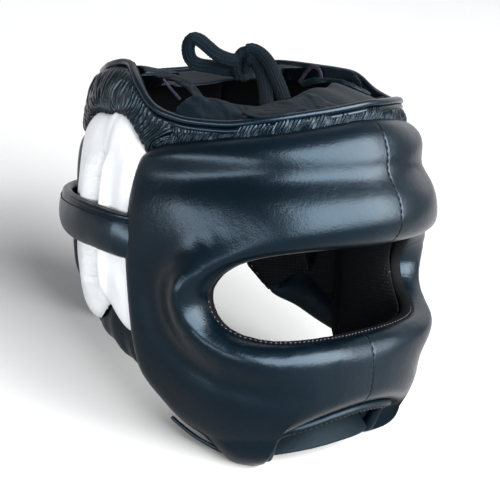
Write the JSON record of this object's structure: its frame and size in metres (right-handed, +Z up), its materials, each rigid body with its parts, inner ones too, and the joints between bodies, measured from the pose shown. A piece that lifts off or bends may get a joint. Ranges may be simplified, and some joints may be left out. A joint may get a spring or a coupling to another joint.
{
  "type": "full-face sparring headgear",
  "caption": "Padded dark leather head guard with a wide eye slot, face bar, white ear pads, back strap, chin strap and a laced gathered crown.",
  "frame": {"origin": "middle of the lower side of the bounding box, on the floor plane that the jaw tips and the nape rest on", "axes": "+Z up, the wearer faces -Y, the wearer's left is +X; the headgear leans back by 21.5 degrees onto its nape"},
  "size_m": [0.239, 0.27, 0.2231],
  "materials": {
    "navy_leather": "smooth semi-gloss",
    "white_leather": "smooth satin",
    "mesh_lining": "open knit mesh",
    "lace_braid": "ribbed flat braid"
  },
  "bodies": {
    "root": {"face_shell": "navy_leather", "crown_front": "navy_leather", "crown_side_right": "navy_leather", "crown_side_left": "navy_leather", "crown_back": "navy_leather", "crown_flap_front": "navy_leather", "crown_flap_back": "navy_leather", "jaw_gusset_right": "navy_leather", "jaw_gusset_left": "navy_leather", "back_panel": "navy_leather", "back_strap": "navy_leather", "chin_binding": "navy_leather", "chin_strap": "navy_leather", "ear_pad_right": "white_leather", "ear_pad_left": "white_leather", "face_lining": "mesh_lining", "ear_lining_right": "mesh_lining", "ear_lining_left": "mesh_lining", "lace_knot": "lace_braid", "lace_loop": "lace_braid", "lace_end_left": "lace_braid", "lace_end_right": "lace_braid"}
  },
  "joints": []
}
